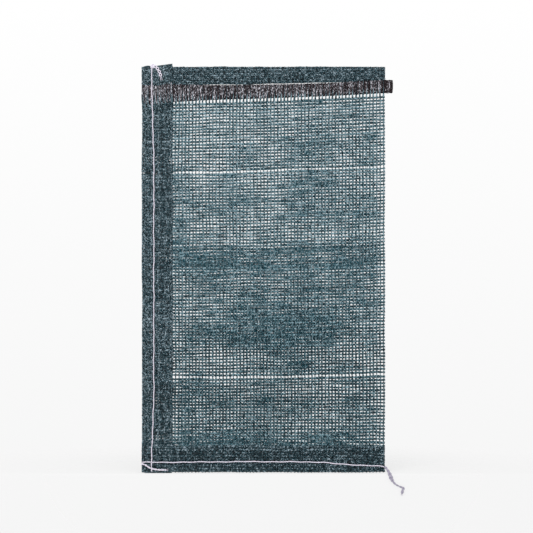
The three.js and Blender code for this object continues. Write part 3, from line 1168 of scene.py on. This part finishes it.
def knot_tangle(strands):
    """The knot where the side seam's thread ends: a few loose turns of thread."""
    centre = np.array([SIDE_SEAM_X + 1, front_face(SIDE_SEAM_X, TOP) - 1.6, TOP + 1.0])
    t = np.linspace(0, 2 * math.pi, 60)
    for tilt, size in KNOT_TURNS:
        across, out, up = np.cos(t) * size, 0.9 * np.sin(2 * t + tilt), np.sin(t) * size * 0.7
        cos, sin = math.cos(tilt), math.sin(tilt)
        turned = np.stack([across * cos - up * sin, out, across * sin + up * cos], 1)
        yarn(strands, (centre + turned)[:-4], KNOT_THREAD_R)


def tail(body, node, knots, **look):
    """A loose thread end on its own body."""
    thread(f"{body}_thread", body, node, chained_tail, knots, **look)


thread("top_knot", "mouth_left", "side_seam_knot", knot_tangle)

SIDE_TAIL_Y = float(front_face(-198.0, TOP - 10)) - 1.6  # just in front of the cloth at the corner
SIDE_TAIL = (
    (-204, SIDE_TAIL_Y - 0.8, 750.5),
    (-199, SIDE_TAIL_Y - 1.2, 750),
    (-195, SIDE_TAIL_Y - 1.2, 745),
    (-191.5, SIDE_TAIL_Y - 1.0, 738.5),
    (-189.8, SIDE_TAIL_Y - 0.8, 732),
)
tail("side_tail", "side_seam_tail", SIDE_TAIL, radius=1.9, fray=12, loose=1.15, yarn_share=0.5)

START_TAIL_Y = float(front_face(-200.0, 12.0)) - 2.6  # in front of the bottom seam
START_TAIL = (
    (-226, START_TAIL_Y, 17),
    (-217, START_TAIL_Y, 13.5),
    (-209, START_TAIL_Y, 8.5),
    (-196, START_TAIL_Y, 5.6),
    (-180, START_TAIL_Y, 5.0),
)
tail("start_tail", "bottom_seam_start_tail", START_TAIL, radius=1.15, fray=3)

END_TAIL = (
    (224.5, -4.2, 10.5),
    (229, -7.5, 5),
    (233, -10.0, -3),
    (236.5, -11.4, -12),
    (242, -11.4, -19.5),
    (250, -11.2, -24.5),
    (257.5, -11.2, -27.5),
    (256.5, -11.0, -32),
    (255.5, -10.8, -38),
)
# the hanging end's tone of -3 is painted shade: it is drawn darker than the rest of the thread
END_TAIL_LOOK = {
    "radius": 2.1,
    "fray": 5,
    "tone": -3.0,
    "thickness": (0.8, 0.8, 1.2, 1.35, 0.8, 0.55, 0.6, 0.9, 0.9),
}
tail("end_tail", "bottom_seam_end_tail", END_TAIL, **END_TAIL_LOOK)

# ---- How the cloth follows the joints ----

PLEATS = 10
GATHERS_ABOVE = 300  # the cloth is drawn in from this height up
PLEATS_WANDER = 0.7  # how far the pleats wander sideways, in radians of a pleat
PLEATS_DRIFT = 14.0  # and how fast, in radians per metre of height
PLEAT_DEPTH = 0.45


def cloth_group(name):
    """A new group for a modifier that moves points: (the group, its graph, the points' places)."""
    group = bpy.data.node_groups.new(name, "GeometryNodeTree")
    for way in ("INPUT", "OUTPUT"):
        group.interface.new_socket("Geometry", in_out=way, socket_type="NodeSocketGeometry")
    graph = Graph(group)
    return group, graph, graph.add("GeometryNodeInputPosition", {}).outputs[0]


def move_points(graph, places):
    """Ends a modifier's group: its points go to these places."""
    source = graph.add("NodeGroupInput", {}).outputs[0]
    moved = graph.add("GeometryNodeSetPosition", {"Geometry": source, "Position": places})
    graph.add("NodeGroupOutput", {0: moved.outputs[0]})


def body_motion(graph, body):
    """How far a body's joints have moved and turned it, as outputs."""
    inputs = {"Object": frame["bodies"][body]}
    return graph.add("GeometryNodeObjectInfo", inputs, transform_space="ORIGINAL").outputs


def gather_group():
    """Pulls the cloth in towards the drawn mouth and lays it in pleats. It does nothing while the
    corner of the mouth is at rest."""
    group, graph, position = cloth_group("gather")
    calc = graph.calc
    x, y, z = graph.split(position)
    pull = graph.split(body_motion(graph, "mouth_left")["Location"])["X"]
    strength = calc("MULTIPLY", graph.smoothstep(z, GATHERS_ABOVE * MM, (MOUTH - 10) * MM), pull)

    middle = 0.5 * (TURN_X + PANEL_RIGHT) * MM
    half = 0.5 * (PANEL_RIGHT - TURN_X) * MM
    from_middle = calc("DIVIDE", calc("SUBTRACT", x, middle), half)
    across = graph.add("ShaderNodeClamp", {"Value": from_middle, "Min": -1, "Max": 1}).outputs[0]
    new_x = calc("SUBTRACT", x, calc("MULTIPLY", across, strength))

    squeeze = calc("SUBTRACT", 1.0, calc("DIVIDE", strength, half))
    spare = calc("SQRT", calc("MAXIMUM", calc("SUBTRACT", 1.0, calc("MULTIPLY", squeeze, squeeze)), 0.0))
    inside = calc("SUBTRACT", 1.0, calc("POWER", calc("ABSOLUTE", across), 6.0))
    phase = calc("MULTIPLY", across, math.pi * PLEATS)
    drift = calc("MULTIPLY", calc("SINE", calc("MULTIPLY", z, PLEATS_DRIFT)), PLEATS_WANDER)
    depth = calc("MULTIPLY", calc("MULTIPLY", spare, inside), half / PLEATS * PLEAT_DEPTH)
    pleat = calc("MULTIPLY", calc("SINE", calc("ADD", phase, drift)), depth)
    joined = graph.add("ShaderNodeCombineXYZ", {0: new_x, 1: calc("ADD", y, pleat), 2: z})
    move_points(graph, joined.outputs[0])
    return group


def bend_group(side):
    """Bends a run of the drawstring with the mouth: its ends stay at the bag's two edges while its
    middle swings out with the panel."""
    group, graph, position = cloth_group(f"{side}_run_bend")
    slid = graph.split(body_motion(graph, f"{side}_run")["Location"])["X"]
    turned = body_motion(graph, f"{side}_mouth")["Rotation"]
    euler = graph.add("FunctionNodeRotationToEuler", {0: turned}).outputs[0]
    swing_back = graph.calc("MULTIPLY", graph.split(euler)["X"], -1.0)
    hinge = next(joint["pos_m"] for joint in frame["joints"] if joint["child"] == f"{side}_mouth")
    inputs = {"Vector": position, "Center": hinge, "Angle": swing_back}
    unswung = graph.add("ShaderNodeVectorRotate", inputs, rotation_type="X_AXIS").outputs[0]

    x = graph.calc("ADD", graph.split(position)["X"], slid)
    held = []
    for edge in (TURN_X, PANEL_RIGHT):
        towards = graph.calc("MULTIPLY", x, math.copysign(1, edge))  # how far out on this side
        held.append(graph.smoothstep(towards, 0.0, abs(edge) * MM))
    inputs = {"Factor": graph.calc("ADD", *held), 4: position, 5: unswung}
    move_points(graph, graph.add("ShaderNodeMix", inputs, data_type="VECTOR").outputs[1])
    return group


# What the drawn mouth gathers, by the start of its name.
GATHERED = ("front_mesh", "back_mesh", "front_hem", "back_hem", "side_", "right_fold_mesh")
gather = gather_group()
for name, obj in pieces.items():
    if name.startswith(GATHERED) and name != "side_tail_thread":
        obj.modifiers.new("gather", "NODES").node_group = gather

for side in ("front", "back"):
    pieces[f"drawstring_{side}"].modifiers.new("bend", "NODES").node_group = bend_group(side)

# ---- Stage, light and camera, in metres ----

WHITE = (1, 1, 1, 1)
STUDIO_LOW = 0.915  # brightness of the backdrop at the bottom of the picture
FLOOR_Z = -0.0015
FLOOR_FRONT = -0.009  # the floor ends here, so that the loose thread can hang past it
FLOOR_BACK = 2.4
FLOOR_HALF_WIDTH = 4.0
FLOOR_DROP = 3.0
FLOOR_ROLL = 0.004  # radius of its front edge
ROLL_STEPS = 6
FLOOR_GREY = (0.2, 0.2, 0.2, 1)
FLOOR_GLOW = 0.645
FLOOR_FADES = (0.06, 0.40)  # distance from the bag over which the floor runs into the backdrop


def floor_material():
    """A pale matt floor that runs into the backdrop away from the bag."""
    material, graph, shader = new_material("floor")
    look = {
        "Base Color": FLOOR_GREY,
        "Roughness": 0.95,
        "Specular IOR Level": 0.0,
        "Emission Color": WHITE,
        "Emission Strength": FLOOR_GLOW,
    }
    graph.feed(shader, look)
    position = graph.add("ShaderNodeNewGeometry", {}).outputs["Position"]
    narrowed = graph.scaled(position, (0.5, 1.0, 1.0))
    away = graph.add("ShaderNodeVectorMath", {0: narrowed}, operation="LENGTH").outputs["Value"]
    clear = graph.add("ShaderNodeBsdfTransparent", {}).outputs[0]
    mixed = graph.mix(graph.smoothstep(away, *FLOOR_FADES), shader.outputs[0], clear)
    graph.feed(graph.nodes["Material Output"], {"Surface": mixed})
    return material


def floor():
    """A pale floor whose front edge rolls over just before the bag."""
    profile = [(FLOOR_BACK, FLOOR_Z), (FLOOR_FRONT + FLOOR_ROLL, FLOOR_Z)]
    for k in range(1, ROLL_STEPS + 1):
        angle = k * math.pi / 2 / ROLL_STEPS
        y = FLOOR_FRONT + FLOOR_ROLL * (1 - math.sin(angle))
        profile.append((y, FLOOR_Z - FLOOR_ROLL * (1 - math.cos(angle))))
    profile.append((FLOOR_FRONT, -FLOOR_DROP))
    count = len(profile)
    points = [(side, y, z) for side in (-FLOOR_HALF_WIDTH, FLOOR_HALF_WIDTH) for y, z in profile]
    faces = [(k, k + 1, count + k + 1, count + k) for k in range(count - 1)]
    mesh = bpy.data.meshes.new("floor")
    mesh.from_pydata(points, [], faces)
    mesh.polygons.foreach_set("use_smooth", [True] * len(faces))
    mesh.materials.append(floor_material())
    in_scene("floor", mesh)


MIDDLE = (0, 0, 0.38)


def lamp(name, location, size, power):
    """A square soft light aimed at the middle of the bag."""
    data = bpy.data.lights.new(name, "AREA")
    data.shape = "SQUARE"
    data.size = size
    data.energy = power
    obj = in_scene(name, data)
    obj.location = location
    obj.rotation_euler = (Vector(MIDDLE) - Vector(location)).to_track_quat("-Z", "Y").to_euler()


def world():
    """Even white light from all round, seen by the camera as the studio's backdrop, which runs
    from white at the top of the picture to pale grey at the bottom."""
    made = bpy.data.worlds.new("studio")
    made.use_nodes = True
    graph = Graph(made.node_tree)
    light = graph.nodes["Background"]
    graph.feed(light, {"Color": WHITE})
    window = graph.add("ShaderNodeTexCoord", {}).outputs["Window"]
    grey = graph.map_to(graph.split(window)["Y"], STUDIO_LOW, 1.0)
    seen = graph.add("ShaderNodeBackground", {"Color": WHITE, "Strength": grey}).outputs[0]
    by_camera = graph.add("ShaderNodeLightPath", {}).outputs["Is Camera Ray"]
    mixed = graph.mix(by_camera, light.outputs[0], seen)
    graph.feed(graph.nodes["World Output"], {"Surface": mixed})
    bpy.context.scene.world = made


VIEW_WIDTH = 0.987116  # what the camera sees across, in the plane of the bag
CAMERA_X = 0.0056
CAMERA_Z = 0.3806


def camera():
    """A camera square to the front of the bag."""
    data = bpy.data.cameras.new("camera")
    data.lens = 85
    obj = in_scene("camera", data)
    obj.location = (CAMERA_X, -VIEW_WIDTH * data.lens / data.sensor_width, CAMERA_Z)
    obj.rotation_euler = (math.pi / 2, 0, 0)
    bpy.context.scene.camera = obj


floor()
world()
lamp("key", (-1.3, -2.2, 1.9), size=1.6, power=42)
lamp("fill", (1.8, -2.4, 0.9), size=1.8, power=14)
camera()
bpy.context.scene.view_settings.view_transform = "Standard"
